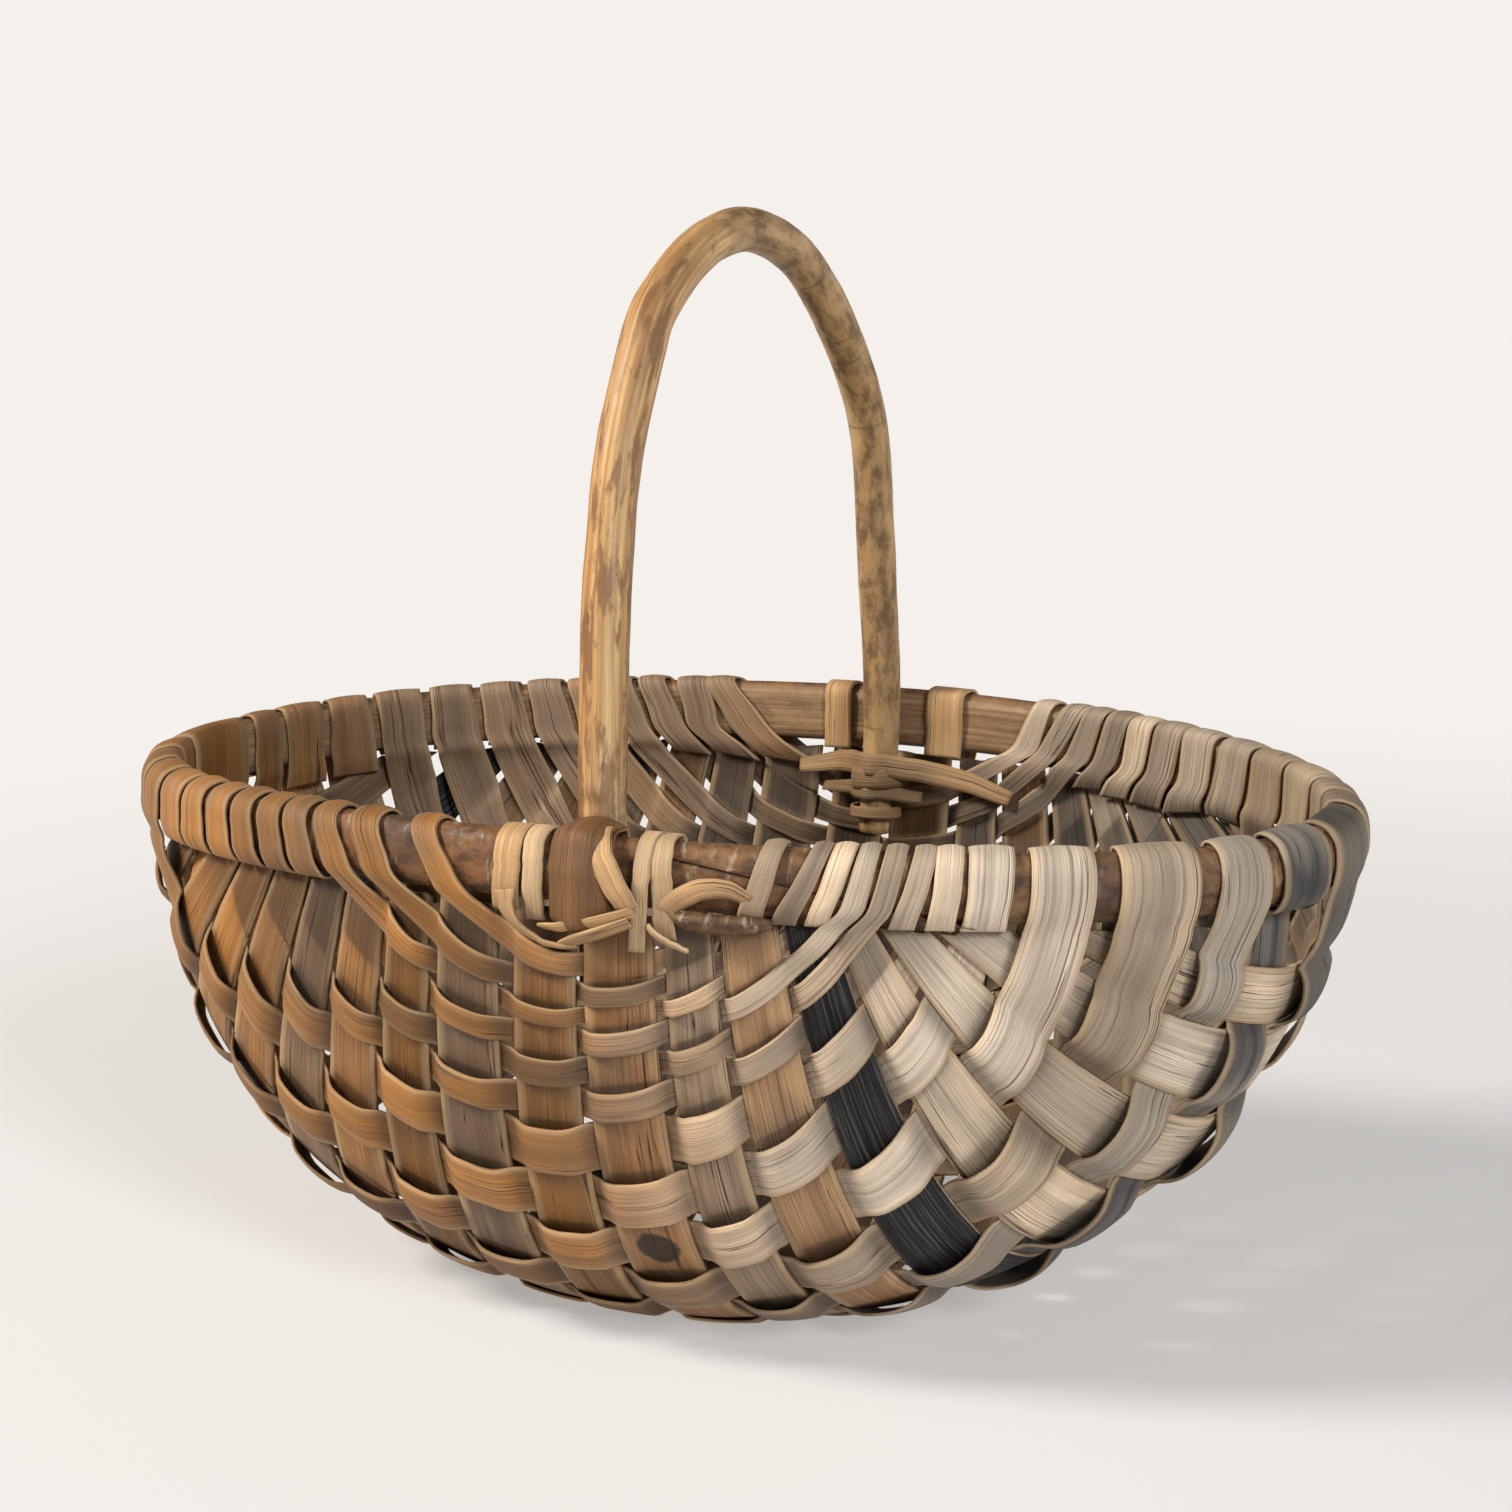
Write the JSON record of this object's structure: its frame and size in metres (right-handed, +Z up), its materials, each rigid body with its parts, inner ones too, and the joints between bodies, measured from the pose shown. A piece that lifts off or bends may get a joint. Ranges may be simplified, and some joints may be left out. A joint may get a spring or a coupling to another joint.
{
  "type": "oval splint basket with rod handle",
  "caption": "Deep oval basket of split-wood ribs and woven splints on a bent rod rim, with a fixed arched rod handle over the middle.",
  "frame": {"origin": "on the floor plane under the middle of the bounding box, at the height of the basket's lowest faces", "axes": "+X along the oval's length, +Y across it towards the back, +Z up towards the handle's crown"},
  "size_m": [0.4984, 0.2924, 0.4159],
  "materials": {
    "rim_bark": "bark-covered round rod, flat split face inside",
    "peeled_rod": "peeled rod, worn smooth, brown streaks",
    "rib_tan": "split wood, open grain, matt",
    "rib_grey": "weathered grey split wood, matt",
    "rib_black": "dark-stained split wood, matt",
    "splint_gold": "thin split splint, warm golden brown, matt",
    "splint_pale": "thin split splint, pale grey beige, matt",
    "binding_splint": "narrow split splint, matt"
  },
  "bodies": {
    "root": {"back_ring_lower": "binding_splint", "back_ring_upper": "binding_splint", "back_wrap_left": "binding_splint", "back_wrap_right": "binding_splint", "front_knob": "binding_splint", "front_ring": "binding_splint", "front_strap": "binding_splint", "front_tail_a": "binding_splint", "front_tail_b": "binding_splint", "front_tie": "binding_splint", "front_wrap_a": "binding_splint", "front_wrap_b": "binding_splint", "handle": "peeled_rod", "rib_01": "rib_tan", "rib_02": "rib_tan", "rib_03": "rib_tan", "rib_04": "rib_tan", "rib_05": "rib_tan", "rib_06": "rib_tan", "rib_07": "rib_tan", "rib_08": "rib_grey", "rib_09": "rib_tan", "rib_10": "rib_tan", "rib_11": "rib_grey", "rib_12": "rib_tan", "rib_13": "rib_black", "rib_14": "rib_grey", "rib_15": "rib_tan", "rib_16": "rib_grey", "rib_17": "rib_tan", "rim_hoop": "rim_bark", "weaver_back_01": "splint_pale", "weaver_back_02": "splint_pale", "weaver_back_03": "splint_pale", "weaver_back_04": "splint_pale", "weaver_back_05": "splint_pale", "weaver_back_06": "splint_pale", "weaver_back_07": "splint_pale", "weaver_back_08": "splint_pale", "weaver_back_09": "splint_pale", "weaver_back_10": "splint_pale", "weaver_back_11": "splint_pale", "weaver_back_12": "splint_pale", "weaver_centre": "splint_gold", "weaver_front_01": "splint_gold", "weaver_front_02": "splint_gold", "weaver_front_03": "splint_gold", "weaver_front_04": "splint_gold", "weaver_front_05": "splint_gold", "weaver_front_06": "splint_gold", "weaver_front_07": "splint_gold", "weaver_front_08": "splint_gold", "weaver_front_09": "splint_gold", "weaver_front_10": "splint_gold", "weaver_front_11": "splint_gold", "weaver_front_12": "splint_gold"}
  },
  "joints": []
}
